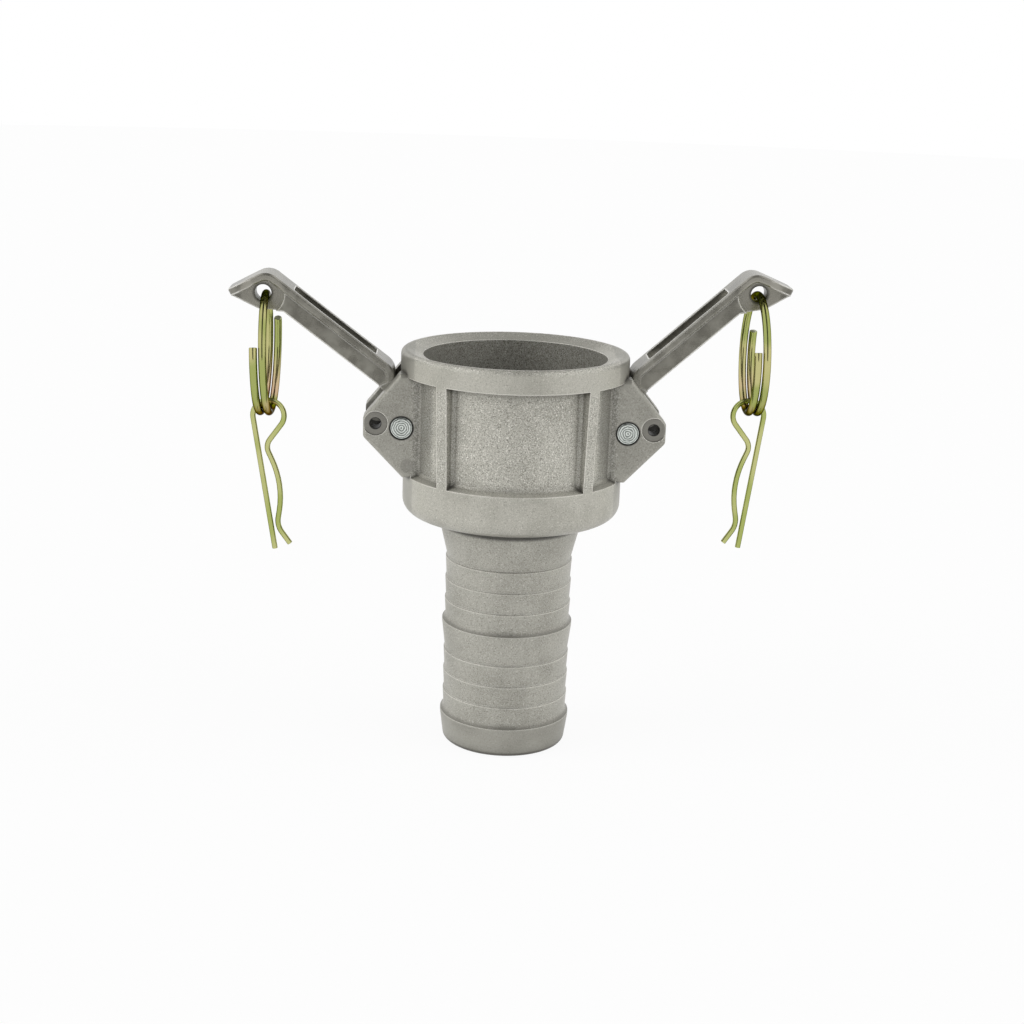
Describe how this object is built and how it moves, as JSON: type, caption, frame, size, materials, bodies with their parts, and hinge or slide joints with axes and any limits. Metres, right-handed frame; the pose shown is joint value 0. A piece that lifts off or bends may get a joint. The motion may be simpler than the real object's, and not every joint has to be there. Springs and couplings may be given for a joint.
{
  "type": "cam and groove coupler with hose tail",
  "caption": "Cast cam and groove coupler: a socket with a face gasket and two cam levers, each with a pull ring and a wire safety clip, on a barbed hose tail.",
  "frame": {"origin": "on the coupler's axis, at the free end of the hose tail", "axes": "+Z along the axis, out of the socket's mouth; the levers spread along X, right lever towards +X; -Y is the side that the picture shows"},
  "size_m": [0.1624, 0.0668, 0.1446],
  "materials": {
    "cast_body": "as cast, shot blasted",
    "gasket_rubber": "matte",
    "pin_steel": "turned",
    "lever_steel": "cast stainless, satin",
    "plated_wire": "yellow zinc plate"
  },
  "bodies": {
    "body": {"coupler_body": "cast_body", "gasket": "gasket_rubber", "lever_pin_left": "pin_steel", "lever_pin_right": "pin_steel"},
    "lever_left": {"cam_lever_left": "lever_steel"},
    "ring_left": {"pull_ring_left": "plated_wire"},
    "clip_left": {"safety_clip_left": "plated_wire"},
    "lever_right": {"cam_lever_right": "lever_steel"},
    "ring_right": {"pull_ring_right": "plated_wire"},
    "clip_right": {"safety_clip_right": "plated_wire"}
  },
  "joints": [
    {"name": "lever_left_swing", "type": "hinge", "parent": "body", "child": "lever_left", "pos_m": [-0.0327, 0, 0.0986], "axis": [0, -1, 0], "range_deg": [-6.4, 122]},
    {"name": "ring_left_swing", "type": "hinge", "parent": "lever_left", "child": "ring_left", "pos_m": [-0.07312, 0, 0.13519], "axis": [0, -1, 0], "range_deg": [-122, 6.4]},
    {"name": "clip_left_swing", "type": "hinge", "parent": "ring_left", "child": "clip_left", "pos_m": [-0.07192, 0, 0.09868], "axis": [0, -1, 0], "range_deg": [-100, 40]},
    {"name": "lever_right_swing", "type": "hinge", "parent": "body", "child": "lever_right", "pos_m": [0.0327, 0, 0.0986], "axis": [0, 1, 0], "range_deg": [-1.2, 127.2]},
    {"name": "ring_right_swing", "type": "hinge", "parent": "lever_right", "child": "ring_right", "pos_m": [0.06963, 0, 0.1387], "axis": [0, 1, 0], "range_deg": [-127.2, 1.2]},
    {"name": "clip_right_swing", "type": "hinge", "parent": "ring_right", "child": "clip_right", "pos_m": [0.06943, 0, 0.10219], "axis": [0, 1, 0], "range_deg": [-100, 40]}
  ],
  "couplings": [
    {"joint": "ring_left_swing", "follows": "lever_left_swing", "ratio": -1},
    {"joint": "ring_right_swing", "follows": "lever_right_swing", "ratio": -1}
  ]
}
